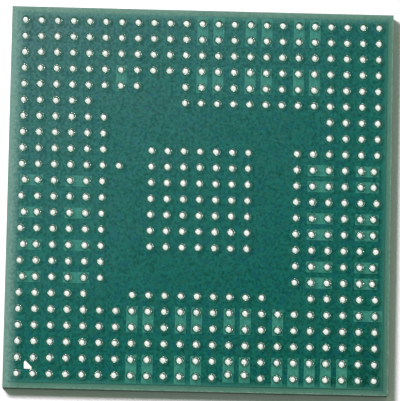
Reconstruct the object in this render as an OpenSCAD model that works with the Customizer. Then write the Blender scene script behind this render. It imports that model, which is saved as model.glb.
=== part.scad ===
// Fine pitch ball grid array package, lying on its moulded face with the balls up.
// Origin: middle of the mould cap's outer face, on which the package rests. +Z points up
// through the board to the balls. Column 1 is at -X and row A at -Y, so ball A1 and the
// pin one mark are at the corner (-X, -Y).

/* [Ball grid] */
// Distance between the centres of neighbouring balls
pitch = 0.8; // [0.78:0.01:1.27]
// Diameter of a ball after reflow
ball_d = 0.5; // [0.44:0.01:0.56]
// Diameter of the round mask opening that a ball wets
opening_d = 0.4; // [0.3:0.01:0.45]
// How far the mask laps over the rim of a pad
pad_lap = 0.03; // [0.02:0.005:0.04]
// Distance from the outer ball centres to the sawn edge
edge_margin = 0.7; // [0.65:0.05:2]
// How far the shifted edge pads sit nearer the middle
pad_shift = 0.15; // [0:0.01:0.18]

/* [Copper bars] */
// Width of a bar that joins two neighbouring pads
bar_w = 0.5; // [0.2:0.05:0.6]
// How far a bar with a tail runs past its outer ball centre
bar_tail = 0.35; // [0.25:0.01:0.36]

/* [Pin one mark] */
// Length of the legs of the triangle, over its round corners
mark_leg = 0.38; // [0.25:0.01:0.4]
// Radius of the triangle's corners
mark_corner_r = 0.06; // [0.02:0.01:0.1]
// Gap between the triangle and the edge of its mask opening
mark_gap = 0.03; // [0.01:0.005:0.04]
// Place of the triangle's middle, from the middle of the four corner balls towards column 2
mark_dx = 0.13; // [0:0.01:0.15]
// Place of the triangle's middle, from the middle of the four corner balls towards row B
mark_dy = 0.03; // [0:0.01:0.1]

/* [Board] */
// Thickness of the laminate core
core_t = 0.25; // [0.1:0.01:0.6]
// Thickness of the copper on each face
copper_t = 0.018; // [0.012:0.001:0.025]
// Thickness of the solder mask over the bare laminate
mask_t = 0.035; // [0.03:0.001:0.05]
// How much the ball side mask stands up where copper lies under it
mask_rise = 0.006; // [0.002:0.001:0.012]
// How far past the copper that raised part of the mask reaches
rise_lap = 0.02; // [0.01:0.005:0.03]
// Width of the strip round the ball side that is bare of mask
mask_pullback = 0.28; // [0.1:0.01:0.28]
// Diameter of the plated vias
via_d = 0.2; // [0.1:0.01:0.24]

/* [Die and its copper] */
// Side of the square die
die_size = 7.2; // [6.6:0.1:7.4]
// Thickness of the die
die_t = 0.2; // [0.1:0.01:0.25]
// Thickness of the film that holds the die
attach_t = 0.025; // [0.015:0.005:0.05]
// How far the film reaches past the die
attach_lap = 0.05; // [0:0.01:0.1]
// How far the copper flag reaches past the die
flag_lap = 0.15; // [0.1:0.01:0.2]
// Diameter of the via lands
land_d = 0.25; // [0.24:0.01:0.28]
// Width of the traces
trace_w = 0.05; // [0.03:0.005:0.06]
// Width of a bond finger
finger_w = 0.12; // [0.08:0.01:0.16]
// Length of a bond finger
finger_len = 0.35; // [0.25:0.01:0.36]
// Gap between the ring of via lands inside the fingers and the fingers
finger_gap = 0.075; // [0.05:0.005:0.09]
// Gap between the fingers and the edge of the window in the mask
window_gap = 0.02; // [0.01:0.005:0.03]
// Number of ball columns that are wired on each side, two wires to a column
wired_columns = 11; // [3:2:11]

/* [Bond wires] */
// Diameter of the gold wire
wire_d = 0.025; // [0.018:0.001:0.035]
// Distance between the bond pads along the die's edge
bond_pitch = 0.28; // [0.1:0.01:0.3]
// Distance from the die's edge to the bond pads
bond_inset = 0.1; // [0.06:0.01:0.2]
// Diameter of the ball bond
bond_d = 0.06; // [0.04:0.005:0.08]
// Height of the ball bond
bond_h = 0.015; // [0.01:0.001:0.02]
// Straight rise of the wire above the ball bond
neck_h = 0.05; // [0.02:0.01:0.1]
// Radius of the wire's bend
loop_r = 0.08; // [0.05:0.01:0.12]

/* [Mould cap] */
// Thickness of the mould cap from its outer face to the board
mould_t = 0.68; // [0.58:0.01:1.2]
// Diameter of the pin one dimple in the outer face
dimple_d = 1; // [0.5:0.1:1.5]
// Depth of the dimple
dimple_depth = 0.03; // [0.01:0.01:0.08]
// Distance from the two sawn edges to the dimple's middle
dimple_inset = 1.4; // [1:0.1:3]

/* [Hidden] */
// Names of the rows. I, O, Q, S, X and Z are left out.
ROWS = ["a", "b", "c", "d", "e", "f", "g", "h", "j", "k", "l", "m",
        "n", "p", "r", "t", "u", "v", "w", "y", "aa", "ab", "ac"];

// The ball map: for each band of rows, [first row, last row, runs of columns].
FULL = [[1, 23]];
BALL_MAP = [
    [1, 5, FULL],
    [6, 6, [[1, 5], [8, 16], [19, 23]]],
    [7, 8, [[1, 6], [18, 23]]],
    [9, 13, [[1, 6], [9, 15], [18, 23]]],
    [14, 14, [[1, 7], [9, 15], [18, 23]]],
    [15, 15, [[1, 6], [9, 15], [18, 23]]],
    [16, 17, [[1, 6], [20, 23]]],
    [18, 18, [[1, 5], [11, 23]]],
    [19, 19, [[1, 8], [11, 23]]],
    [20, 23, FULL]
];

// Pads that sit nearer the middle: rows of the first and the last column, columns of row A.
SHIFTED_FIRST = [7, 9, 11, 13];
SHIFTED_LAST = [7, 8, 10, 11, 13, 14];
SHIFTED_A = [14, 15];

// Bars along a column: [lower row, columns, side of the tail].
COLUMN_BARS = [
    [22, [12, 13, 15, 16, 18, 19], 1],
    [19, [7, 12, 13, 15, 16, 18, 19], 0],
    [4, [8, 9, 11, 12, 14, 15, 17], 0],
    [1, [8, 9, 11, 12, 14, 15, 17, 18, 19, 20, 21], -1]
];
// Bars along a row: [left column, rows, side of the tail].
ROW_BARS = [
    [1, SHIFTED_FIRST, 0],
    [4, SHIFTED_FIRST, 0],
    [19, SHIFTED_LAST, 0],
    [22, SHIFTED_LAST, 0],
    [22, [5], 1]
];

grid_n = len(ROWS);
middle = (grid_n + 1) / 2;
body_size = (grid_n - 1) * pitch + 2 * edge_margin;
pad_d = opening_d + 2 * pad_lap;

// Heights of the board's faces above the resting face.
core_bottom = mould_t + mask_t;
core_top = core_bottom + core_t;
mask_top = core_top + mask_t;
seat_z = mask_top + mask_rise;
ball_centre = sqrt(pow(ball_d / 2, 2) - pow(opening_d / 2, 2));
neck_depth = seat_z - core_top - copper_t;

// Heights on the die side, counted from the board's moulded face into the cap.
finger_top = copper_t - mask_t;
die_top = attach_t + die_t;

mask_size = body_size - 2 * mask_pullback;
flag_size = die_size + 2 * flag_lap;

// The fingers lie just outside ball ring 6. Every other one runs to ring 8, the rest to 9.
finger_ring = 6;
wired_ring = 8;
finger_start = finger_ring * pitch + land_d / 2 + finger_gap;
finger_end = finger_start + finger_len;
finger_middle = finger_start + finger_len / 2;
lane = pitch / 4;
wired_n = 2 * wired_columns;

// Bond wires: place of the bond pads and height of the centre of the bend.
bond_x = die_size / 2 - bond_inset;
bend_z = die_top + bond_h + neck_h;

// Turns that take a drawing towards +X to each side of the package.
FRONT = -90;
RIGHT = 0;
BACK = 90;
LEFT = 180;
SIDES = [FRONT, RIGHT, BACK, LEFT];

// Depth of a cut that passes right through what it is cut from.
through = 0.5;

function has(list, value) = len([for (v = list) if (v == value) v]) > 0;

// Place of a ball in the plane, from its column and row.
function shift_x(c, r) =
    c == 1 && has(SHIFTED_FIRST, r) ? pad_shift :
    c == grid_n && has(SHIFTED_LAST, r) ? -pad_shift : 0;
function shift_y(c, r) = r == 1 && has(SHIFTED_A, c) ? pad_shift : 0;
function place(c, r) = [
    (c - middle) * pitch + shift_x(c, r),
    (r - middle) * pitch + shift_y(c, r)
];

// Columns that carry a ball in a row.
function columns(r) = [
    for (band = BALL_MAP)
        if (r >= band[0] && r <= band[1])
            for (run = band[2])
                for (c = [run[0]:run[1]]) c
];

module at_row(r) {
    for (c = columns(r))
        translate(place(c, r)) children();
}

module at_every_ball() {
    for (r = [1:grid_n]) at_row(r) children();
}

// A flat bar over two pads, with a tail past the first (-1), the second (1) or neither (0).
module bar_between(a, b, tail_side, margin) {
    width = bar_w + 2 * margin;
    start = (tail_side < 0 ? bar_tail : pad_d / 2) + margin;
    end = (tail_side > 0 ? bar_tail : pad_d / 2) + margin;
    length = norm(b - a) + start + end;
    along = atan2(b[1] - a[1], b[0] - a[0]);
    translate(a) rotate(along) translate([-start, -width / 2]) square([length, width]);
}

// Outline of the pads and bars, grown by a margin all round.
module ball_side_outline(margin) {
    at_every_ball() circle(d = pad_d + 2 * margin, $fn = 32);
    for (set = COLUMN_BARS) for (c = set[1])
        bar_between(place(c, set[0]), place(c, set[0] + 1), set[2], margin);
    for (set = ROW_BARS) for (r = set[1])
        bar_between(place(set[0], r), place(set[0] + 1, r), set[2], margin);
}

module centred_square(side) {
    translate([-side / 2, -side / 2]) square(side);
}

// Right-angled triangle with round corners, grown by a margin all round.
module mark_outline(margin) {
    leg = mark_leg - 2 * mark_corner_r;
    r = mark_corner_r + margin;
    slant = r * sqrt(0.5);
    corner = [
        (1.5 - middle) * pitch + mark_dx - leg / 2,
        (1.5 - middle) * pitch + mark_dy - leg / 2
    ];
    translate(corner) {
        polygon([[0, -r], [leg, -r], [leg + slant, slant], [slant, leg + slant], [-r, leg], [-r, 0]]);
        for (p = [[0, 0], [leg, 0], [0, leg]]) translate(p) circle(r, $fn = 32);
    }
}

// Ball side of the board.

module ball_side_copper() {
    color("darkgoldenrod") translate([0, 0, core_top]) linear_extrude(copper_t) ball_side_outline(0);
}

module ball_side_solder_mask() {
    color("seagreen") difference() {
        translate([0, 0, core_top]) {
            linear_extrude(mask_t) centred_square(mask_size);
            linear_extrude(mask_t + mask_rise) ball_side_outline(rise_lap);
        }
        ball_side_copper();
        at_every_ball() translate([0, 0, core_top]) cylinder(h = through, d = opening_d, $fn = 32);
        translate([0, 0, core_top]) linear_extrude(through) mark_outline(mark_gap);
    }
}

module pin_one_mark() {
    color("gold") translate([0, 0, core_top]) linear_extrude(copper_t) mark_outline(0);
}

module laminate_core() {
    color("darkseagreen") difference() {
        translate([0, 0, core_bottom]) linear_extrude(core_t) centred_square(body_size);
        plated_vias();
    }
}

module plated_vias() {
    color("peru") at_every_ball()
        translate([0, 0, core_bottom]) cylinder(h = core_t, d = via_d, $fn = 24);
}

// A truncated ball on a short neck that fills the mask opening down to the pad.
module solder_ball() {
    rotate_extrude($fn = 48) {
        intersection() {
            translate([0, ball_centre]) circle(d = ball_d, $fn = 48);
            square(ball_d);
        }
        translate([0, -neck_depth]) square([opening_d / 2, neck_depth]);
    }
}

module ball_row(r) {
    color("silver") at_row(r) translate([0, 0, seat_z]) solder_ball();
}

// Die side of the board, drawn with its face at 0 and upwards into the mould cap.

module on_die_side() {
    translate([0, 0, mould_t]) mirror([0, 0, 1]) children();
}

// Place of finger i across its side.
function finger_y(i) =
    (floor(i / 2) - (wired_columns - 1) / 2) * pitch + (i % 2 == 0 ? -lane : lane);

// A finger and its trace, which runs straight out in its lane and then steps to a via land.
module finger_and_trace(i) {
    via_x = (wired_ring + i % 2) * pitch;
    step = i % 2 == 0 ? lane : -lane;
    translate([0, finger_y(i)]) {
        translate([finger_start, -finger_w / 2]) square([finger_len, finger_w]);
        translate([finger_end - trace_w, -trace_w / 2])
            square([via_x - finger_end + 1.5 * trace_w, trace_w]);
        translate([via_x - trace_w / 2, min(0, step)]) square([trace_w, lane]);
    }
}

module die_side_outline() {
    centred_square(flag_size);
    at_every_ball() circle(d = land_d, $fn = 24);
    for (side = SIDES) rotate(side)
        for (i = [0:wired_n - 1]) finger_and_trace(i);
}

// The windows in the mask that leave the fingers bare.
module windows() {
    half = finger_y(wired_n - 1) + finger_w / 2 + window_gap;
    for (side = SIDES) rotate(side)
        translate([finger_start - window_gap, -half])
            square([finger_len + 2 * window_gap, 2 * half]);
}

module die_side_copper() {
    color("darkgoldenrod") on_die_side()
        translate([0, 0, -mask_t]) linear_extrude(copper_t) die_side_outline();
}

module window_prisms() {
    on_die_side() translate([0, 0, -mask_t]) linear_extrude(mask_t) windows();
}

module die_side_solder_mask() {
    color("seagreen") difference() {
        on_die_side() translate([0, 0, -mask_t]) linear_extrude(mask_t) centred_square(body_size);
        die_side_copper();
        window_prisms();
    }
}

module die_attach_film() {
    color("dimgray") on_die_side()
        linear_extrude(attach_t) centred_square(die_size + 2 * attach_lap);
}

module silicon_die() {
    color("slategray") on_die_side()
        translate([0, 0, attach_t]) linear_extrude(die_t) centred_square(die_size);
}

// One wire along +X: ball bond, neck, bend, and a straight run down past the finger's face.
// The slope is kept to a tenth of a degree.
module wire(span) {
    drop = bend_z - finger_top;
    reach = norm([span - loop_r, drop]);
    slope = round(10 * (atan2(drop, span - loop_r) + asin(loop_r / reach))) / 10;
    run = sqrt(pow(reach, 2) - pow(loop_r, 2)) + wire_d / tan(slope);
    translate([0, 0, die_top]) {
        cylinder(h = bond_h, d = bond_d, $fn = 24);
        cylinder(h = bond_h + neck_h, d = wire_d, $fn = 16);
    }
    translate([loop_r, 0, bend_z]) rotate([0, slope, 0]) {
        rotate([90, 0, 0]) rotate(90) rotate_extrude(angle = 90 + slope, $fn = 48)
            translate([loop_r, 0]) circle(d = wire_d, $fn = 16);
        translate([0, 0, loop_r]) rotate([0, 90, 0]) cylinder(h = run, d = wire_d, $fn = 16);
    }
}

// The wires of one side fan out from the die to the fingers and are cut off at their faces.
module bond_wires(side) {
    color("gold") on_die_side() rotate(side) difference() {
        for (i = [0:wired_n - 1]) {
            start = [bond_x, (i - (wired_n - 1) / 2) * bond_pitch];
            end = [finger_middle, finger_y(i)];
            translate([start[0], start[1], 0])
                rotate(atan2(end[1] - start[1], end[0] - start[0])) wire(norm(end - start));
        }
        translate([finger_start, -body_size / 2, finger_top - through])
            cube([finger_len, body_size, through]);
    }
}

// The cap fills everything on the die side that is not another piece.
module mould_cap() {
    color("dimgray") difference() {
        union() {
            linear_extrude(mould_t) centred_square(body_size);
            window_prisms();
        }
        die_attach_film();
        silicon_die();
        for (side = SIDES) bond_wires(side);
        die_side_copper();
        translate([dimple_inset - body_size / 2, dimple_inset - body_size / 2, 0])
            cylinder(h = 2 * dimple_depth, d = dimple_d, center = true, $fn = 48);
    }
}

// Assembly.

mould_cap();
silicon_die();
die_attach_film();
bond_wires(FRONT);  // bond_wires_front
bond_wires(RIGHT);  // bond_wires_right
bond_wires(BACK);  // bond_wires_back
bond_wires(LEFT);  // bond_wires_left
die_side_copper();
die_side_solder_mask();
laminate_core();
plated_vias();
ball_side_copper();
ball_side_solder_mask();
pin_one_mark();
for (i = [0:grid_n - 1])
    ball_row(i + 1);
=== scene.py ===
"""Looks, light and camera of a fine pitch ball grid array package.

The package lies on its moulded face with the solder balls up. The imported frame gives
every solid its place; this script adds the field of reflowed solder balls, gives each
piece its finish, and sets the floor, the light and the camera.
"""

from __future__ import annotations

import logging
import math
from collections.abc import Iterable
from dataclasses import dataclass, field
from enum import Enum
from typing import Any

import bpy
from mathutils import Euler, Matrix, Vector

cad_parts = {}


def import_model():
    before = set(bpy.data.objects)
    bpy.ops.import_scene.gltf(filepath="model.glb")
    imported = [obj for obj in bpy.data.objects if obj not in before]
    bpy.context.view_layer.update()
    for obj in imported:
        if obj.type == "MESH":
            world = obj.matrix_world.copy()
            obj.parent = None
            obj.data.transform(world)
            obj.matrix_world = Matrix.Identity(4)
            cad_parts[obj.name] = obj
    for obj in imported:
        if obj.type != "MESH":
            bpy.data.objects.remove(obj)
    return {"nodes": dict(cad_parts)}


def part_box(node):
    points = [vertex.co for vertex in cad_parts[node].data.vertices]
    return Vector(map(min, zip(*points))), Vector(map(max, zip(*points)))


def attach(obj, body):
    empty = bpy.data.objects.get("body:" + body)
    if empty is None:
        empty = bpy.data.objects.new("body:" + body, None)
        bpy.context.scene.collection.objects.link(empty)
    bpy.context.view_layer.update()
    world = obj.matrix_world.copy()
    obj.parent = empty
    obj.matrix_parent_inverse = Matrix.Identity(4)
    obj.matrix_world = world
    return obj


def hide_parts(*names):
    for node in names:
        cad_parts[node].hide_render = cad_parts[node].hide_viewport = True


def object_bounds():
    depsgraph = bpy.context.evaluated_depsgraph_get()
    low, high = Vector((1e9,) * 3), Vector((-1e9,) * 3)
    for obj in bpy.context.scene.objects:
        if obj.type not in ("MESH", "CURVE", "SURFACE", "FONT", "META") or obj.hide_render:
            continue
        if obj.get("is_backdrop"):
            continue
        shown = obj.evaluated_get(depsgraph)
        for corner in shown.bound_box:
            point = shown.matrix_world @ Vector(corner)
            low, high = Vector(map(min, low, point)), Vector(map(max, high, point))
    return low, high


LOG = logging.getLogger("ball_grid_array")
MM = 0.001
BODY = "root"

Colour = tuple[float, float, float]
Wire = Any  # a node socket, or a plain number or tuple that is set on one


class Side(Enum):
    """The four ways round the die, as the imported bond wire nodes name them."""

    FRONT = "front"
    RIGHT = "right"
    BACK = "back"
    LEFT = "left"


class Slot(Enum):
    """The record's material slots, by name."""

    MOULD = "mould_compound"
    SILICON = "silicon"
    DIE_FILM = "die_film"
    GOLD = "gold_wire"
    COPPER = "copper"
    MASK = "solder_mask"
    LAMINATE = "laminate"
    MARK = "plated_mark"
    SOLDER = "solder"


# ---------------------------------------------------------------- node wiring


class Loom:
    """Adds nodes to one tree and joins their sockets, from left to right."""

    def __init__(self, tree: bpy.types.NodeTree) -> None:
        """Keep the tree that the nodes go into."""
        self.tree = tree

    def add(self, kind: str, wires: dict[str | int, Wire] | None = None, **settings: Any) -> Any:
        """Add one node.

        Args:
            kind: the node's type name.
            wires: what goes into its inputs, by name or place: sockets or plain values.
            settings: the node's own properties.

        Returns:
            The new node.
        """
        node = self.tree.nodes.new(kind)
        node.location = (200.0 * (len(self.tree.nodes) % 12), -180.0 * (len(self.tree.nodes) // 12))
        for name, value in settings.items():
            setattr(node, name, value)
        for name, value in (wires or {}).items():
            self.plug(node.inputs[name], value)
        return node

    def plug(self, socket: bpy.types.NodeSocket, value: Wire) -> None:
        """Join a socket to another one, or set it to a plain value.

        Args:
            socket: the input.
            value: an output socket, a number, or the parts of a vector or colour.
        """
        if isinstance(value, bpy.types.NodeSocket):
            self.tree.links.new(value, socket)
        elif isinstance(value, tuple) and socket.type == "RGBA":
            socket.default_value = (*value[:3], 1.0)
        else:
            socket.default_value = value

    def math(self, operation: str, *terms: Wire, clamp: bool = False) -> Any:
        """Work out one value from up to three.

        Args:
            operation: the Math node's operation.
            terms: sockets or numbers.
            clamp: whether the result is held between 0 and 1.

        Returns:
            The result's socket.
        """
        node = self.add("ShaderNodeMath", dict(enumerate(terms)), operation=operation)
        node.use_clamp = clamp
        return node.outputs[0]

    def ease(self, value: Wire, low: float, high: float, start: float = 0.0, end: float = 1.0) -> Any:
        """Turn a value into a soft step.

        Args:
            value: what is measured.
            low: where the step starts.
            high: where it ends.
            start: result below low.
            end: result above high.

        Returns:
            The result's socket.
        """
        wires = {"Value": value, "From Min": low, "From Max": high, "To Min": start, "To Max": end}
        return self.add("ShaderNodeMapRange", wires, interpolation_type="SMOOTHSTEP").outputs[0]

    def blend(self, share: Wire, first: Wire, second: Wire, how: str = "MIX") -> Any:
        """Mix two colours.

        Args:
            share: how much of the second, 0 to 1.
            first: the colour under it.
            second: the colour over it.
            how: the Mix node's blend type.

        Returns:
            The mixed colour's socket.
        """
        node = self.add("ShaderNodeMix", {0: share, 6: first, 7: second}, data_type="RGBA", blend_type=how)
        return node.outputs[2]

    def noise(self, place: Wire, grain: float, detail: float = 2.0, seed: float = 0.0) -> Any:
        """Add four-dimensional noise over a place in millimetres.

        Args:
            place: the vector, in millimetres.
            grain: size of its patches, in millimetres.
            detail: octaves of finer noise on top.
            seed: which of the noise's slices is taken.

        Returns:
            The noise's value socket, 0 to 1.
        """
        wires = {"Vector": place, "W": seed, "Scale": 1.0 / grain, "Detail": detail}
        return self.add("ShaderNodeTexNoise", wires, noise_dimensions="4D").outputs[0]


def millimetres(loom: Loom) -> Any:
    """Give a material its object's own coordinates in millimetres.

    Args:
        loom: the material's tree.

    Returns:
        The vector's socket.
    """
    place = loom.add("ShaderNodeTexCoord").outputs["Object"]
    scale = (1.0 / MM, 1.0 / MM, 1.0 / MM)
    return loom.add("ShaderNodeVectorMath", {0: place, 1: scale}, operation="MULTIPLY").outputs[0]


class Effects:
    """The surface effects that several finishes share, each a node group built once."""

    def __init__(self) -> None:
        """Build the groups."""
        self.mottle = self._mottle()
        self.saw_marks = self._saw_marks()
        self.grain = self._grain()
        self.dust = self._dust()
        self.painted_sheen = self._painted_sheen()

    @staticmethod
    def _group(
        name: str, inputs: dict[str, tuple[str, Any]], outputs: dict[str, str]
    ) -> tuple[Any, Loom, Any, Any]:
        """Start a group with its named sockets.

        Args:
            name: the group's name.
            inputs: kind and default value of each input.
            outputs: kind of each output.

        Returns:
            The tree, its loom, and its input and output nodes.
        """
        tree = bpy.data.node_groups.new(name, "ShaderNodeTree")
        for socket, (kind, value) in inputs.items():
            made = tree.interface.new_socket(socket, in_out="INPUT", socket_type=f"NodeSocket{kind}")
            if value is not None:
                made.default_value = value
        for socket, kind in outputs.items():
            tree.interface.new_socket(socket, in_out="OUTPUT", socket_type=f"NodeSocket{kind}")
        loom = Loom(tree)
        return tree, loom, loom.add("NodeGroupInput"), loom.add("NodeGroupOutput")

    def _mottle(self) -> Any:
        """Build the patchy change of a film's colour, broad and fine.

        Returns:
            The group's tree.
        """
        tree, loom, given, result = self._group(
            "Mottle",
            {
                "Place": ("Vector", None),
                "Broad Grain": ("Float", 2.5),
                "Fine Grain": ("Float", 0.15),
                "Broad": ("Float", 0.5),
                "Fine": ("Float", 0.5),
                "First": ("Color", (1.0, 1.0, 1.0, 1.0)),
                "Second": ("Color", (1.0, 1.0, 1.0, 1.0)),
            },
            {"Color": "Color", "Mask": "Float"},
        )
        out = given.outputs
        masks = []
        for grain, share, detail in (("Broad Grain", "Broad", 3.0), ("Fine Grain", "Fine", 2.0)):
            scale = loom.math("DIVIDE", 1.0, out[grain])
            wires = {"Vector": out["Place"], "W": 3.7 + detail, "Scale": scale, "Detail": detail}
            cloud = loom.add("ShaderNodeTexNoise", wires, noise_dimensions="4D").outputs[0]
            centred = loom.math("SUBTRACT", loom.ease(cloud, 0.3, 0.7), 0.5)
            masks.append(loom.math("MULTIPLY", centred, out[share]))
        mask = loom.math("ADD", loom.math("ADD", *masks), 0.5, clamp=True)
        loom.plug(result.inputs["Color"], loom.blend(mask, out["First"], out["Second"]))
        loom.plug(result.inputs["Mask"], mask)
        return tree

    def _saw_marks(self) -> Any:
        """Build the fine scratches that the dicing saw leaves along a side.

        Returns:
            The group's tree.
        """
        tree, loom, given, result = self._group(
            "Saw Marks",
            {"Place": ("Vector", None), "Spacing": ("Float", 0.02), "Run": ("Float", 1.5)},
            {"Height": "Float", "Mask": "Float"},
        )
        out = given.outputs
        across = loom.math("DIVIDE", 1.0, out["Spacing"])
        along = loom.math("DIVIDE", 1.0, out["Run"])
        scale = loom.add("ShaderNodeCombineXYZ", {0: along, 1: along, 2: across}).outputs[0]
        place = loom.add("ShaderNodeVectorMath", {0: out["Place"], 1: scale}, operation="MULTIPLY").outputs[0]
        lines = loom.add("ShaderNodeTexNoise", {"Vector": place, "Scale": 1.0, "Detail": 3.0}).outputs[0]
        loom.plug(result.inputs["Height"], loom.ease(lines, 0.25, 0.75))
        loom.plug(result.inputs["Mask"], loom.ease(lines, 0.55, 0.7))
        return tree

    def _grain(self) -> Any:
        """Build the small pits and bumps of a cast or plated surface.

        Returns:
            The group's tree.
        """
        tree, loom, given, result = self._group(
            "Grain",
            {"Place": ("Vector", None), "Size": ("Float", 0.05)},
            {"Height": "Float", "Mask": "Float"},
        )
        out = given.outputs
        scale = loom.math("DIVIDE", 1.0, out["Size"])
        cells = loom.add(
            "ShaderNodeTexVoronoi", {"Vector": out["Place"], "Scale": scale}, feature="SMOOTH_F1")
        cloud = loom.add(
            "ShaderNodeTexNoise", {"Vector": out["Place"], "Scale": scale, "Detail": 3.0}).outputs[0]
        height = loom.math("ADD", loom.math("MULTIPLY", cells.outputs["Distance"], 0.5), cloud)
        loom.plug(result.inputs["Height"], height)
        loom.plug(result.inputs["Mask"], loom.ease(height, 0.6, 1.0))
        return tree

    def _dust(self) -> Any:
        """Build sparse specks of dust and sawing residue.

        Returns:
            The group's tree.
        """
        tree, loom, given, result = self._group(
            "Dust",
            {"Place": ("Vector", None), "Size": ("Float", 0.3), "Amount": ("Float", 0.5)},
            {"Mask": "Float"},
        )
        out = given.outputs
        scale = loom.math("DIVIDE", 1.0, out["Size"])
        cells = loom.add("ShaderNodeTexVoronoi", {"Vector": out["Place"], "Scale": scale}, feature="F1")
        speck = loom.ease(cells.outputs["Distance"], 0.08, 0.16, 1.0, 0.0)
        chance = loom.add("ShaderNodeSeparateColor", {0: cells.outputs["Color"]}).outputs[0]
        kept = loom.math("LESS_THAN", chance, out["Amount"])
        loom.plug(result.inputs["Mask"], loom.math("MULTIPLY", speck, kept))
        return tree

    def _painted_sheen(self) -> Any:
        """Build the painted sheen and glare: lighter towards the upper left corner and along the west and
        north edges.

        Returns:
            The group's tree.
        """
        tree, loom, given, result = self._group(
            "Painted Sheen",
            {
                "Place": ("Vector", None),
                "Color": ("Color", (1.0, 1.0, 1.0, 1.0)),
                "Faint Sheen": ("Color", (0.008, 0.185, 0.172, 1.0)),
                "Strong Sheen": ("Color", (0.120, 0.218, 0.228, 1.0)),
                "Edge Glare": ("Color", (0.165, 0.305, 0.262, 1.0)),
                "Amount": ("Float", 0.55),
                "Grain": ("Float", 0.14),
                "Half Side": ("Float", 9.5),
            },
            {"Color": "Color", "Mask": "Float"},
        )
        out = given.outputs
        axes = loom.add("ShaderNodeSeparateXYZ", {0: out["Place"]}).outputs
        side = out["Half Side"]
        cloud = loom.math("SUBTRACT", loom.noise(out["Place"], 2.2, 4.0, 2.0), 0.5)
        cloud = loom.math("MULTIPLY", cloud, 0.25)
        fine = loom.add("ShaderNodeTexNoise", {
            "Vector": out["Place"], "W": 6.0, "Scale": loom.math("DIVIDE", 1.0, out["Grain"]), "Detail": 2.0,
        }, noise_dimensions="4D").outputs[0]
        # Painted sheen: lighter towards the upper left corner, where the lamp's reflection and glare fall.
        west = loom.math("MULTIPLY", loom.math("SUBTRACT", 1.0, loom.math("DIVIDE", axes[0], side)), 0.5)
        north = loom.math("MULTIPLY", loom.math("ADD", 1.0, loom.math("DIVIDE", axes[1], side)), 0.5)
        corner = loom.math("MULTIPLY", loom.math("MULTIPLY", west, north), 0.46)
        sides = loom.math("ADD", loom.math("MULTIPLY", west, 0.18), loom.math("MULTIPLY", north, 0.32))
        sheen_strength = loom.math("ADD", loom.math("ADD", corner, sides), cloud, clamp=True)
        sheen_share = loom.math("MULTIPLY", loom.math("POWER", sheen_strength, 0.45), out["Amount"])
        specks = loom.ease(fine, 0.35, 0.65, 0.6, 1.4)
        mask = loom.math("MULTIPLY", sheen_share, specks, clamp=True)
        # Colour of the painted sheen, paler where it is strongest.
        film = loom.blend(loom.math("POWER", sheen_strength, 1.5), out["Faint Sheen"], out["Strong Sheen"])
        sheened = loom.blend(mask, out["Color"], film)
        # Painted glare along the west and north edges.
        west_glare = loom.ease(loom.math("DIVIDE", axes[0], side), -0.99, -0.92, 0.80, 0.0)
        north_glare = loom.ease(loom.math("DIVIDE", axes[1], side), 0.93, 1.0, 0.0, 0.30)
        edge_glare = loom.math("MULTIPLY", loom.math("MAXIMUM", west_glare, north_glare), specks, clamp=True)
        loom.plug(result.inputs["Color"], loom.blend(edge_glare, sheened, out["Edge Glare"]))
        loom.plug(result.inputs["Mask"], mask)
        return tree

    @staticmethod
    def place(loom: Loom, group: Any, wires: dict[str, Wire]) -> Any:
        """Put a group into a material.

        Args:
            loom: the material's tree.
            group: the group's tree.
            wires: what goes into its inputs.

        Returns:
            The outputs of the new node.
        """
        node = loom.add("ShaderNodeGroup", node_tree=group)
        for name, value in wires.items():
            loom.plug(node.inputs[name], value)
        return node.outputs


# ---------------------------------------------------------------- finishes


def surface(name: str, plain: dict[str, Any]) -> tuple[bpy.types.Material, Loom, Any, Any]:
    """Start a material with one Principled shader.

    Args:
        name: the material's name.
        plain: values that are the same all over the surface, set on the shader itself.

    Returns:
        The material, its loom, its shader, and its place in millimetres.
    """
    material = bpy.data.materials.new(name)
    material.use_nodes = True
    material.node_tree.nodes.clear()
    loom = Loom(material.node_tree)
    shader = loom.add("ShaderNodeBsdfPrincipled")
    for socket, value in plain.items():
        loom.plug(shader.inputs[socket], value)
    loom.add("ShaderNodeOutputMaterial", {"Surface": shader.outputs[0]})
    return material, loom, shader, millimetres(loom)


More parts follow.
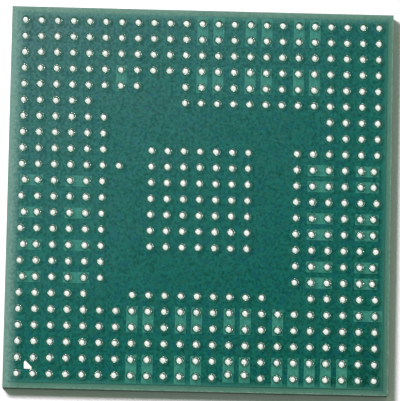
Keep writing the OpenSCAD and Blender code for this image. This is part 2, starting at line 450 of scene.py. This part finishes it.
@dataclass(frozen=True)
class SolderMaskFinish:
    """Cured green mask film, paler where copper lies under it and along its edge."""

    deep: Colour = (0.002, 0.055, 0.033)
    bright: Colour = (0.006, 0.116, 0.078)
    blue: Colour = (0.003, 0.068, 0.086)
    warm: Colour = (0.014, 0.088, 0.047)
    over_copper: Colour = (0.068, 0.300, 0.216)
    thin: Colour = (0.055, 0.215, 0.155)
    raised_from: float = 1.002
    raised_to: float = 1.005
    edge: float = 9.22
    roughness: float = 0.42

    def material(self, effects: Effects) -> bpy.types.Material:
        """Build the film.

        Args:
            effects: the shared node groups.

        Returns:
            The material.
        """
        made, loom, shader, place = surface("solder mask film", {"Specular IOR Level": 0.045, "IOR": 1.5})
        axes = loom.add("ShaderNodeSeparateXYZ", {0: place}).outputs
        film = effects.place(loom, effects.mottle, {
            "Place": place, "Broad Grain": 3.0, "Fine Grain": 0.13, "Broad": 0.3, "Fine": 2.6,
            "First": self.deep, "Second": self.bright,
        })
        cool = loom.ease(loom.noise(place, 0.30, 2.0, 8.0), 0.50, 0.66, 0.0, 0.75)
        base = loom.blend(cool, film["Color"], self.blue)
        base = loom.blend(loom.ease(loom.noise(place, 0.26, 2.0, 3.0), 0.52, 0.68, 0.0, 0.7), base, self.warm)
        lift = loom.ease(axes[2], self.raised_from, self.raised_to)
        ripple = loom.ease(loom.noise(place, 0.11, 2.0, 5.0), 0.3, 0.7, 0.52, 1.0)
        base = loom.blend(loom.math("MULTIPLY", lift, ripple), base, self.over_copper)
        reach = loom.math("MAXIMUM", loom.math("ABSOLUTE", axes[0]), loom.math("ABSOLUTE", axes[1]))
        rim = loom.ease(reach, self.edge - 0.30, self.edge + 0.04, 0.0, 0.65)
        base = loom.blend(rim, base, self.thin)
        # Painted sheen and edge glare over the film: lighter towards the upper left and along the west and
        # north edges.
        with_painted_sheen = effects.place(loom, effects.painted_sheen, {"Place": place, "Color": base})["Color"]
        loom.plug(shader.inputs["Base Color"], with_painted_sheen)
        least, most = self.roughness - 0.05, self.roughness + 0.07
        rough = loom.ease(loom.noise(place, 0.5, 3.0, 1.0), 0.3, 0.7, least, most)
        loom.plug(shader.inputs["Roughness"], rough)
        swell = loom.math("ADD", loom.noise(place, 0.12, 3.0), loom.noise(place, 0.6, 1.0, 9.0))
        bump = loom.add("ShaderNodeBump", {"Strength": 0.25, "Distance": 0.004 * MM, "Height": swell})
        loom.plug(shader.inputs["Normal"], bump.outputs[0])
        return made


@dataclass(frozen=True)
class LaminateFinish:
    """Glass cloth in pale green resin, with sawn sides."""

    resin: Colour = (0.105, 0.240, 0.172)
    shade: Colour = (0.070, 0.185, 0.128)
    buried: Colour = (0.028, 0.140, 0.098)
    glass: Colour = (0.330, 0.430, 0.340)
    side: float = 9.5
    layer: float = 0.083
    yarn: float = 0.42

    def material(self, effects: Effects) -> bpy.types.Material:
        """Build the laminate.

        Args:
            effects: the shared node groups.

        Returns:
            The material.
        """
        made, loom, shader, place = surface("glass cloth laminate", {"Specular IOR Level": 0.25, "IOR": 1.52})
        axes = loom.add("ShaderNodeSeparateXYZ", {0: place}).outputs
        resin = effects.place(loom, effects.mottle, {
            "Place": place, "Broad Grain": 1.6, "Fine Grain": 0.11, "Broad": 0.6, "Fine": 0.8,
            "First": self.shade, "Second": self.resin,
        })
        run = loom.math("ADD", axes[0], axes[1])
        waves = loom.math("SINE", loom.math("MULTIPLY", run, math.tau / self.yarn))
        bowed = loom.math("ADD", axes[2], loom.math("MULTIPLY", waves, 0.012))
        cloth = loom.math("SINE", loom.math("MULTIPLY", bowed, math.tau / self.layer))
        fibre = loom.ease(loom.noise(place, 0.018, 2.0, 4.0), 0.35, 0.7)
        layers = loom.math("MULTIPLY", loom.ease(cloth, 0.1, 0.8), fibre)
        out_x = loom.math("ABSOLUTE", axes[0])
        out_y = loom.math("ABSOLUTE", axes[1])
        reach = loom.math("MAXIMUM", out_x, out_y)
        sawn = loom.ease(reach, self.side - 0.004, self.side - 0.001)
        clear = loom.ease(reach, self.side - 0.34, self.side, 0.10, 1.0)
        base = loom.blend(clear, self.buried, resin["Color"])
        base = loom.blend(loom.math("MULTIPLY", loom.math("MULTIPLY", layers, sawn), 0.75), base, self.glass)
        burr = loom.ease(reach, self.side - 0.07, self.side - 0.02)
        flecks = loom.ease(loom.noise(place, 0.10, 3.0, 6.0), 0.42, 0.62)
        base = loom.blend(loom.math("MULTIPLY", loom.math("MULTIPLY", burr, flecks), 0.55), base, self.glass)
        # The same painted sheen and edge glare, fainter, over the laminate.
        with_painted_sheen = effects.place(loom, effects.painted_sheen, {
            "Place": place, "Color": base, "Faint Sheen": (0.12, 0.27, 0.20), "Strong Sheen": (0.26, 0.38, 0.33),
            "Amount": 0.3,
        })
        loom.plug(shader.inputs["Base Color"], with_painted_sheen["Color"])
        saw = effects.place(loom, effects.saw_marks, {"Place": place, "Spacing": 0.015, "Run": 1.2})
        loom.plug(shader.inputs["Roughness"], loom.ease(saw["Height"], 0.0, 1.0, 0.5, 0.72))
        height = loom.math("ADD", loom.math("MULTIPLY", saw["Height"], sawn), loom.noise(place, 0.05, 2.0))
        bump = loom.add("ShaderNodeBump", {"Strength": 0.5, "Distance": 0.003 * MM, "Height": height})
        loom.plug(shader.inputs["Normal"], bump.outputs[0])
        return made


@dataclass(frozen=True)
class MouldFinish:
    """Matt black epoxy compound with silica grains, ground by the saw on its sides."""

    compound: Colour = (0.036, 0.038, 0.035)
    grey: Colour = (0.062, 0.065, 0.060)
    silica: Colour = (0.16, 0.16, 0.15)
    saw_dust_and_green_shade: Colour = (0.050, 0.180, 0.115)
    side: float = 9.5

    def material(self, effects: Effects) -> bpy.types.Material:
        """Build the compound.

        Args:
            effects: the shared node groups.

        Returns:
            The material.
        """
        made, loom, shader, place = surface("mould compound", {"Specular IOR Level": 0.4, "IOR": 1.55})
        axes = loom.add("ShaderNodeSeparateXYZ", {0: place}).outputs
        body = effects.place(loom, effects.mottle, {
            "Place": place, "Broad Grain": 2.0, "Fine Grain": 0.06, "Broad": 0.5, "Fine": 1.0,
            "First": self.compound, "Second": self.grey,
        })
        grains = effects.place(loom, effects.dust, {"Place": place, "Size": 0.07, "Amount": 0.35})["Mask"]
        base = loom.blend(loom.math("MULTIPLY", grains, 0.55), body["Color"], self.silica)
        reach = loom.math("MAXIMUM", loom.math("ABSOLUTE", axes[0]), loom.math("ABSOLUTE", axes[1]))
        sawn = loom.ease(reach, self.side - 0.004, self.side - 0.001)
        # Greenish on the sawn sides: partly laminate saw dust, partly painted greenish shade.
        smear_and_green_shade = loom.ease(loom.noise(place, 0.25, 3.0, 7.0), 0.3, 0.7, 0.35, 0.75)
        base = loom.blend(loom.math("MULTIPLY", smear_and_green_shade, sawn), base, self.saw_dust_and_green_shade)
        loom.plug(shader.inputs["Base Color"], base)
        saw = effects.place(loom, effects.saw_marks, {"Place": place, "Spacing": 0.02, "Run": 2.0})
        rough = loom.ease(body["Mask"], 0.0, 1.0, 0.56, 0.72)
        rough = loom.math("ADD", rough, loom.math("MULTIPLY", sawn, 0.12))
        loom.plug(shader.inputs["Roughness"], rough)
        pits = effects.place(loom, effects.grain, {"Place": place, "Size": 0.045})["Height"]
        height = loom.math("ADD", loom.math("MULTIPLY", saw["Height"], sawn), pits)
        bump = loom.add("ShaderNodeBump", {"Strength": 0.6, "Distance": 0.004 * MM, "Height": height})
        loom.plug(shader.inputs["Normal"], bump.outputs[0])
        return made


@dataclass(frozen=True)
class SolderFinish:
    """Reflowed tin alloy: a bright skin with fine frost, and a painted reflection of the green board low on
    the flank.
    """

    skin: Colour = (0.84, 0.89, 0.84)
    dull: Colour = (0.70, 0.75, 0.69)
    painted_board_reflection: Colour = (0.74, 0.82, 0.74)
    neck: float = 1.30
    shoulder: float = 1.385
    tone: str = "ball_tone"

    def material(self, effects: Effects) -> bpy.types.Material:
        """Build the alloy.

        Args:
            effects: the shared node groups.

        Returns:
            The material.
        """
        made, loom, shader, place = surface("reflowed solder", {"Metallic": 1.0})
        axes = loom.add("ShaderNodeSeparateXYZ", {0: place}).outputs
        tone = loom.add("ShaderNodeAttribute", attribute_name=self.tone).outputs["Fac"]
        frost = effects.place(loom, effects.grain, {"Place": place, "Size": 0.035})
        share = loom.math("MULTIPLY", frost["Mask"], 0.35)
        share = loom.math("ADD", share, loom.math("MULTIPLY", tone, 0.35))
        base = loom.blend(share, self.skin, self.dull)
        # Painted reflection: darker and greener low on the flank, where the ball faces the green board.
        low = loom.ease(axes[2], self.neck, self.shoulder, 0.95, 0.0)
        base = loom.blend(low, base, self.painted_board_reflection)
        loom.plug(shader.inputs["Base Color"], base)
        rough = loom.ease(frost["Mask"], 0.0, 1.0, 0.10, 0.20)
        rough = loom.math("ADD", rough, loom.math("MULTIPLY", tone, 0.06))
        loom.plug(shader.inputs["Roughness"], rough)
        dents = loom.noise(place, 0.16, 1.0, 2.0)
        swell = loom.add("ShaderNodeBump", {"Strength": 0.5, "Distance": 0.036 * MM, "Height": dents})
        bump = loom.add("ShaderNodeBump", {
            "Strength": 0.25, "Distance": 0.003 * MM, "Height": frost["Height"], "Normal": swell.outputs[0],
        })
        loom.plug(shader.inputs["Normal"], bump.outputs[0])
        return made


@dataclass(frozen=True)
class MetalFinish:
    """A plated, drawn or etched metal with its tarnish."""

    name: str
    clean: Colour
    tarnish: Colour
    stain: float
    low: float
    high: float
    grain: float

    def material(self, effects: Effects) -> bpy.types.Material:
        """Build the metal.

        Args:
            effects: the shared node groups.

        Returns:
            The material.
        """
        made, loom, shader, place = surface(self.name, {"Metallic": 1.0})
        coat = effects.place(loom, effects.mottle, {
            "Place": place, "Broad Grain": self.stain, "Fine Grain": self.grain, "Broad": 0.8, "Fine": 0.5,
            "First": self.clean, "Second": self.tarnish,
        })
        loom.plug(shader.inputs["Base Color"], coat["Color"])
        loom.plug(shader.inputs["Roughness"], loom.ease(coat["Mask"], 0.0, 1.0, self.low, self.high))
        skin = effects.place(loom, effects.grain, {"Place": place, "Size": self.grain})["Height"]
        bump = loom.add("ShaderNodeBump", {"Strength": 0.3, "Distance": 0.002 * MM, "Height": skin})
        loom.plug(shader.inputs["Normal"], bump.outputs[0])
        return made


@dataclass(frozen=True)
class SiliconFinish:
    """Ground back and sawn sides of the die, bluish grey and half metallic."""

    ground: Colour = (0.22, 0.23, 0.25)
    dark: Colour = (0.12, 0.125, 0.14)

    def material(self, effects: Effects) -> bpy.types.Material:
        """Build the silicon.

        Args:
            effects: the shared node groups.

        Returns:
            The material.
        """
        made, loom, shader, place = surface("ground silicon", {"Metallic": 0.7})
        lines = effects.place(loom, effects.saw_marks, {"Place": place, "Spacing": 0.01, "Run": 3.0})
        loom.plug(shader.inputs["Base Color"], loom.blend(lines["Mask"], self.ground, self.dark))
        loom.plug(shader.inputs["Roughness"], loom.ease(lines["Height"], 0.0, 1.0, 0.22, 0.4))
        bump = loom.add("ShaderNodeBump", {
            "Strength": 0.3, "Distance": 0.001 * MM, "Height": lines["Height"],
        })
        loom.plug(shader.inputs["Normal"], bump.outputs[0])
        return made


@dataclass(frozen=True)
class DieFilmFinish:
    """Brown adhesive film with small pale filler grains."""

    film: Colour = (0.11, 0.055, 0.026)
    light: Colour = (0.19, 0.10, 0.05)

    def material(self, effects: Effects) -> bpy.types.Material:
        """Build the film.

        Args:
            effects: the shared node groups.

        Returns:
            The material.
        """
        made, loom, shader, place = surface("die attach film", {"IOR": 1.5})
        film = effects.place(loom, effects.mottle, {
            "Place": place, "Broad Grain": 0.8, "Fine Grain": 0.04, "Broad": 0.5, "Fine": 0.8,
            "First": self.film, "Second": self.light,
        })
        grains = effects.place(loom, effects.dust, {"Place": place, "Size": 0.05, "Amount": 0.3})["Mask"]
        loom.plug(shader.inputs["Base Color"], loom.blend(grains, film["Color"], (0.40, 0.36, 0.30)))
        loom.plug(shader.inputs["Roughness"], loom.ease(film["Mask"], 0.0, 1.0, 0.45, 0.6))
        return made


# ---------------------------------------------------------------- the package


def dress(nodes: dict[str, bpy.types.Object], names: Iterable[str], material: bpy.types.Material) -> None:
    """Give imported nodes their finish, in every slot that they have.

    Args:
        nodes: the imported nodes.
        names: which of them.
        material: their finish.
    """
    for name in names:
        for held in nodes[name].material_slots:
            held.material = material


@dataclass
class BallField:
    """The solder balls, each wetted to its pad through a round opening in the mask."""

    nodes: dict[str, bpy.types.Object]
    effects: Effects
    diameter: float = 0.5 * MM
    opening: float = 0.4 * MM
    seat: float = 1.006 * MM
    sides: int = 14
    bands: int = 4
    crown: float = 62.0
    shrink: float = 0.03
    seed: int = 7
    finish: SolderFinish = field(default_factory=SolderFinish)

    @property
    def rows(self) -> list[str]:
        """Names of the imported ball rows."""
        return sorted(name for name in self.nodes if name.startswith("ball_row_"))

    def centres(self) -> list[Vector]:
        """Find the foot of every ball: the balls of a row stand apart along X.

        Returns:
            One point on its pad for each ball, row by row.
        """
        feet: list[Vector] = []
        for name in self.rows:
            low, _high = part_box(name)
            run: list[Vector] = []
            points = sorted((vertex.co for vertex in self.nodes[name].data.vertices), key=lambda co: co.x)
            for point in [*points, None]:
                if run and (point is None or point.x - run[-1].x > 0.1 * self.diameter):
                    ys = [co.y for co in run]
                    feet.append(Vector(((run[0].x + run[-1].x) / 2, (min(ys) + max(ys)) / 2, low.z)))
                    run = []
                if point is not None:
                    run.append(point)
        return feet

    def tree(self, material: bpy.types.Material) -> bpy.types.NodeTree:
        """Build the tree that grows one ball and sets it on every point.

        Args:
            material: the balls' finish.

        Returns:
            The geometry tree.
        """
        tree = bpy.data.node_groups.new("Ball Field", "GeometryNodeTree")
        sockets = {
            "Feet": "Geometry", "Diameter": "Float", "Opening": "Float", "Neck": "Float", "Crown": "Float",
            "Shrink": "Float", "Sides": "Int", "Bands": "Int", "Seed": "Int",
        }
        for name, kind in sockets.items():
            tree.interface.new_socket(name, in_out="INPUT", socket_type=f"NodeSocket{kind}")
        tree.interface.new_socket("Balls", in_out="OUTPUT", socket_type="NodeSocketGeometry")
        loom = Loom(tree)
        given = loom.add("NodeGroupInput").outputs
        result = loom.add("NodeGroupOutput")

        # A drum of unit radius and height is bent into the ball: its lowest band is the neck
        # in the mask opening, the bands above it follow the sphere, and its lid is the crown.
        drum = loom.add("GeometryNodeMeshCylinder", {
            "Vertices": given["Sides"], "Side Segments": given["Bands"], "Fill Segments": 1,
            "Radius": 1.0, "Depth": 1.0,
        }, fill_type="TRIANGLE_FAN").outputs["Mesh"]
        position = loom.add("GeometryNodeInputPosition").outputs[0]
        spot = loom.add("ShaderNodeSeparateXYZ", {0: position}).outputs
        ring = loom.math("MULTIPLY", loom.math("ADD", spot[2], 0.5), given["Bands"])
        radius = loom.math("MULTIPLY", given["Diameter"], 0.5)
        mouth = loom.math("MULTIPLY", given["Opening"], 0.5)
        sink = loom.math("ARCCOSINE", loom.math("DIVIDE", mouth, radius))
        upper_bands = loom.math("SUBTRACT", given["Bands"], 1.0)
        climb = loom.math("DIVIDE", loom.math("SUBTRACT", ring, 1.0), upper_bands)
        turn = loom.math("ADD", given["Crown"], sink)
        lift = loom.math("SUBTRACT", loom.math("MULTIPLY", loom.math("MAXIMUM", climb, 0.0), turn), sink)
        wide = loom.math("MULTIPLY", loom.math("COSINE", lift), radius)
        middle = loom.math("ADD", given["Neck"], loom.math("MULTIPLY", loom.math("SINE", sink), radius))
        tall = loom.math("ADD", middle, loom.math("MULTIPLY", loom.math("SINE", lift), radius))
        neck = loom.math("LESS_THAN", ring, 0.5)
        off_axis = loom.math("ADD", loom.math("ABSOLUTE", spot[0]), loom.math("ABSOLUTE", spot[1]))
        inner = loom.math("LESS_THAN", off_axis, 0.5)
        pole = loom.math("MULTIPLY", inner, loom.math("ADD", middle, radius))
        ringed = loom.math("ADD", loom.math("MULTIPLY", loom.math("SUBTRACT", 1.0, inner), tall), pole)
        height = loom.math("MULTIPLY", loom.math("SUBTRACT", 1.0, neck), ringed)
        shape = loom.add("ShaderNodeCombineXYZ", {
            0: loom.math("MULTIPLY", spot[0], wide), 1: loom.math("MULTIPLY", spot[1], wide), 2: height,
        }).outputs[0]
        ball = loom.add("GeometryNodeSetPosition", {"Geometry": drum, "Position": shape}).outputs[0]
        ball = loom.add("GeometryNodeSetShadeSmooth", {"Geometry": ball, "Shade Smooth": True}).outputs[0]

        spin = loom.add(
            "FunctionNodeRandomValue", {"Max": math.tau, "Seed": given["Seed"]}, data_type="FLOAT")
        around = loom.add("ShaderNodeCombineXYZ", {2: spin.outputs[1]}).outputs[0]
        least = loom.math("SUBTRACT", 1.0, given["Shrink"])
        size_seed = loom.math("ADD", given["Seed"], 1.0)
        size = loom.add("FunctionNodeRandomValue", {2: least, 3: 1.0, "Seed": size_seed})
        placed = loom.add("GeometryNodeInstanceOnPoints", {
            "Points": loom.add("GeometryNodeMeshToPoints", {"Mesh": given["Feet"]}).outputs[0],
            "Instance": ball, "Rotation": around, "Scale": size.outputs[1],
        }).outputs[0]
        tone = loom.add("FunctionNodeRandomValue", {"Seed": loom.math("ADD", given["Seed"], 2.0)})
        placed = loom.add("GeometryNodeStoreNamedAttribute", {
            "Geometry": placed, "Name": self.finish.tone, "Value": tone.outputs[1],
        }, domain="INSTANCE").outputs[0]
        real = loom.add("GeometryNodeRealizeInstances", {"Geometry": placed}).outputs[0]
        done = loom.add("GeometryNodeSetMaterial", {"Geometry": real, "Material": material}).outputs[0]
        loom.plug(result.inputs[0], done)
        return tree

    def build(self) -> bpy.types.Object:
        """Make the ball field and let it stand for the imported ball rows.

        Returns:
            The finished piece.
        """
        material = self.finish.material(self.effects)
        feet = self.centres()
        points = bpy.data.meshes.new("ball feet")
        points.from_pydata([tuple(foot) for foot in feet], [], [])
        seed_object = bpy.data.objects.new("ball feet", points)
        bpy.context.scene.collection.objects.link(seed_object)
        modifier = seed_object.modifiers.new("Ball Field", "NODES")
        modifier.node_group = self.tree(material)
        values = {
            "Diameter": self.diameter, "Opening": self.opening, "Neck": self.seat - feet[0].z,
            "Crown": math.radians(self.crown), "Shrink": self.shrink,
            "Sides": self.sides, "Bands": self.bands, "Seed": self.seed,
        }
        for item in modifier.node_group.interface.items_tree:
            if item.name in values:
                modifier[item.identifier] = values[item.name]
        seed_object.update_tag()
        graph = bpy.context.evaluated_depsgraph_get()
        mesh = bpy.data.meshes.new_from_object(seed_object.evaluated_get(graph), depsgraph=graph)
        seed_object.modifiers.clear()
        bpy.data.objects.remove(seed_object)
        mesh.name = "solder_balls"
        piece = bpy.data.objects.new("solder_balls", mesh)
        bpy.context.scene.collection.objects.link(piece)
        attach(piece, BODY)
        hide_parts(*self.rows)
        LOG.info("solder_balls: %d balls, %d faces", len(feet), len(mesh.polygons))
        return piece


@dataclass
class Board:
    """The laminate with its copper, vias, masks and pin one mark."""

    nodes: dict[str, bpy.types.Object]
    effects: Effects
    mask: SolderMaskFinish = field(default_factory=SolderMaskFinish)
    laminate: LaminateFinish = field(default_factory=LaminateFinish)
    copper: MetalFinish = MetalFinish(
        "etched copper", (0.93, 0.58, 0.42), (0.62, 0.30, 0.19), 0.6, 0.28, 0.5, 0.04)
    plating: MetalFinish = MetalFinish(
        "plated mark", (0.97, 0.96, 0.92), (0.88, 0.86, 0.78), 0.3, 0.30, 0.42, 0.03)

    def dress(self) -> None:
        """Give the board's nodes their finishes."""
        dress(self.nodes, ("ball_side_solder_mask", "die_side_solder_mask"), self.mask.material(self.effects))
        dress(self.nodes, ("laminate_core",), self.laminate.material(self.effects))
        plated = ("ball_side_copper", "die_side_copper", "plated_vias")
        dress(self.nodes, plated, self.copper.material(self.effects))
        dress(self.nodes, ("pin_one_mark",), self.plating.material(self.effects))
        LOG.info("board: masks, laminate, copper, vias and pin one mark finished")


@dataclass
class MouldedDie:
    """The mould cap, and the die, film and bond wires sealed in it."""

    nodes: dict[str, bpy.types.Object]
    effects: Effects
    mould: MouldFinish = field(default_factory=MouldFinish)
    silicon: SiliconFinish = field(default_factory=SiliconFinish)
    film: DieFilmFinish = field(default_factory=DieFilmFinish)
    gold: MetalFinish = MetalFinish(
        "drawn gold wire", (1.0, 0.78, 0.34), (0.86, 0.58, 0.22), 0.2, 0.16, 0.3, 0.01)

    def dress(self) -> None:
        """Give the moulded nodes their finishes."""
        dress(self.nodes, ("mould_cap",), self.mould.material(self.effects))
        dress(self.nodes, ("silicon_die",), self.silicon.material(self.effects))
        dress(self.nodes, ("die_attach_film",), self.film.material(self.effects))
        dress(self.nodes, (f"bond_wires_{side.value}" for side in Side), self.gold.material(self.effects))
        LOG.info("moulded die: cap, die, film and bond wires finished")


# ---------------------------------------------------------------- the studio


@dataclass
class Studio:
    """A white floor under a pale dome, a soft lamp with its creeping twin, and the camera."""

    towards_lamp: Vector = field(default_factory=lambda: Vector((-0.43, 0.36, 1.0)))
    lamp_distance: float = 130.0 * MM
    lamp_size: float = 34.0 * MM
    lamp_share: float = 0.22
    creeping_share: float = 0.56
    lamp_tint: Colour = (1.08, 1.0, 1.07)
    ambient: float = 0.24
    ambient_tint: Colour = (0.80, 1.0, 0.78)
    ambient_towards: Vector = field(default_factory=lambda: Vector((-0.15, 1.0, 0.0)))
    ambient_lean: float = 0.8
    low_sky: Colour = (0.030, 0.125, 0.100)
    shell_axis: Vector = field(default_factory=lambda: Vector((-0.32, -0.20, 0.93)))
    shell_rise: tuple[float, float] = (0.16, 0.60)
    floor_white: float = 1.2  # to the camera, so that lit floor is full white and the shadow stays
    floor_grey: float = 0.80  # to every other ray
    mirrored_fade: tuple[float, float] = (9.6, 12.0)  # millimetres from the middle
    floor_gap: float = 0.01 * MM
    floor_size: float = 0.8
    aim: Vector = field(default_factory=lambda: Vector((0.037, -0.024, 0.965)) * MM)
    turned: tuple[float, float, float] = (6.646, -1.301, 1.217)
    away: float = 189.0 * MM
    view_angle: float = 6.0
    sensor: float = 36.0

    def floor(self) -> bpy.types.Object:
        """Lay the floor, white to the camera and keeping the package's shadow.

        Returns:
            The floor.
        """
        half, low = self.floor_size / 2, -self.floor_gap
        mesh = bpy.data.meshes.new("floor")
        corners = [(-half, -half, low), (half, -half, low), (half, half, low), (-half, half, low)]
        mesh.from_pydata(corners, [], [(0, 1, 2, 3)])
        floor = bpy.data.objects.new("floor", mesh)
        bpy.context.scene.collection.objects.link(floor)
        material = bpy.data.materials.new("white floor")
        material.use_nodes = True
        material.node_tree.nodes.clear()
        loom = Loom(material.node_tree)
        path = loom.add("ShaderNodeLightPath").outputs
        far = loom.add("ShaderNodeVectorMath", {0: millimetres(loom)}, operation="LENGTH").outputs["Value"]
        mirrored = loom.math("MAXIMUM", path["Is Glossy Ray"], path["Is Transmission Ray"])
        away = loom.math("MULTIPLY", mirrored, loom.ease(far, *self.mirrored_fade))
        tone = loom.blend(away, (self.floor_grey,) * 3, self.low_sky)
        tone = loom.blend(path["Is Camera Ray"], tone, (self.floor_white,) * 3)
        matt = loom.add("ShaderNodeBsdfDiffuse", {"Color": tone}).outputs[0]
        loom.add("ShaderNodeOutputMaterial", {"Surface": matt})
        mesh.materials.append(material)
        floor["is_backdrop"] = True
        return floor

    def lamp(self, name: str, share: float) -> bpy.types.Object:
        """Hang a soft lamp up and to the left.

        Args:
            name: the lamp's name.
            share: its part of the light that makes a white sheet white.

        Returns:
            The lamp.
        """
        ray = self.towards_lamp.normalized()
        data = bpy.data.lights.new(name, "AREA")
        data.shape = "DISK"
        data.size = self.lamp_size
        data.energy = share * math.pi * math.pi * self.lamp_distance**2 / ray.z
        data.color = self.lamp_tint
        lamp = bpy.data.objects.new(name, data)
        lamp.location = ray * self.lamp_distance
        lamp.rotation_euler = (-ray).to_track_quat("-Z", "Y").to_euler()
        bpy.context.scene.collection.objects.link(lamp)
        return lamp

    def soften_under(self, balls: bpy.types.Object) -> None:
        """Hang the lamp that stands for light creeping through the clear board under the balls.

        The laminate is translucent, so the small shadows of the balls fill with light that
        enters beside them. The balls don't block this lamp, and everything else does.

        Args:
            balls: the solder balls.
        """
        lamp = self.lamp("creeping lamp", self.creeping_share)
        lamp.visible_glossy = False
        clear = bpy.data.collections.new("clear to the creeping lamp")
        clear.objects.link(balls)
        clear.collection_objects[0].light_linking.link_state = "EXCLUDE"
        lamp.light_linking.blocker_collection = clear

    def dome(self) -> None:
        """Make the surroundings: white behind the package and in its metal, soft fill for the rest."""
        world = bpy.data.worlds.new("dome")
        world.use_nodes = True
        world.node_tree.nodes.clear()
        loom = Loom(world.node_tree)
        path = loom.add("ShaderNodeLightPath").outputs
        way = loom.add("ShaderNodeTexCoord").outputs["Generated"]
        axis = tuple(self.shell_axis.normalized())
        rise = loom.add("ShaderNodeVectorMath", {0: way, 1: axis}, operation="DOT_PRODUCT").outputs["Value"]
        shell = loom.blend(loom.ease(rise, *self.shell_rise), self.low_sky, (1.0, 1.0, 1.0))
        towards = tuple(self.ambient_towards.normalized())
        lean = loom.add(
            "ShaderNodeVectorMath", {0: way, 1: towards}, operation="DOT_PRODUCT").outputs["Value"]
        fill = loom.math("MULTIPLY_ADD", lean, self.ambient_lean, 1.0)
        fill = loom.math("MULTIPLY", loom.math("MAXIMUM", fill, 0.0), self.ambient)
        soft = loom.blend(fill, (0.0, 0.0, 0.0), self.ambient_tint)
        mirrored = loom.math("MAXIMUM", path["Is Glossy Ray"], path["Is Transmission Ray"])
        tone = loom.blend(path["Is Camera Ray"], loom.blend(mirrored, soft, shell), (1.0, 1.0, 1.0))
        sky = loom.add("ShaderNodeBackground", {"Color": tone, "Strength": 1.0}).outputs[0]
        loom.add("ShaderNodeOutputWorld", {"Surface": sky})
        bpy.context.scene.world = world

    def camera(self) -> bpy.types.Object:
        """Set the camera almost straight above the balls, a little in front.

        Returns:
            The camera.
        """
        turn = Euler([math.radians(angle) for angle in self.turned], "XYZ")
        data = bpy.data.cameras.new("camera")
        data.sensor_fit = "HORIZONTAL"
        data.sensor_width = self.sensor
        data.lens = self.sensor / 2 / math.tan(math.radians(self.view_angle) / 2)
        data.clip_start = 0.001
        data.clip_end = 20.0
        camera = bpy.data.objects.new("camera", data)
        camera.rotation_euler = turn
        camera.location = self.aim + turn.to_matrix() @ Vector((0.0, 0.0, self.away))
        bpy.context.scene.collection.objects.link(camera)
        bpy.context.scene.camera = camera
        return camera

    def build(self) -> None:
        """Set up the whole studio."""
        scene = bpy.context.scene
        scene.view_settings.view_transform = "Standard"
        self.camera()
        self.floor()
        self.lamp("lamp", self.lamp_share)
        self.dome()
        LOG.info("studio: floor, lamp, dome and camera set")


def plain(box: Iterable[Iterable[float]]) -> list[list[float]]:
    """Turn a box into plain lists of numbers.

    Args:
        box: its lowest and highest corners.

    Returns:
        The corners as lists.
    """
    return [[float(value) for value in corner] for corner in box]


def main() -> None:
    """Load the frame, build and dress the package, and set the studio."""
    logging.basicConfig(level=logging.INFO, format="%(name)s | %(message)s")
    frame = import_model()
    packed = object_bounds()
    nodes = frame["nodes"]
    effects = Effects()
    studio = Studio()
    studio.build()
    balls = BallField(nodes, effects).build()
    studio.soften_under(balls)
    Board(nodes, effects).dress()
    MouldedDie(nodes, effects).dress()
    sizes = {"frame": plain(packed), "visual": plain(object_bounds())}


if __name__ == "__main__":
    main()
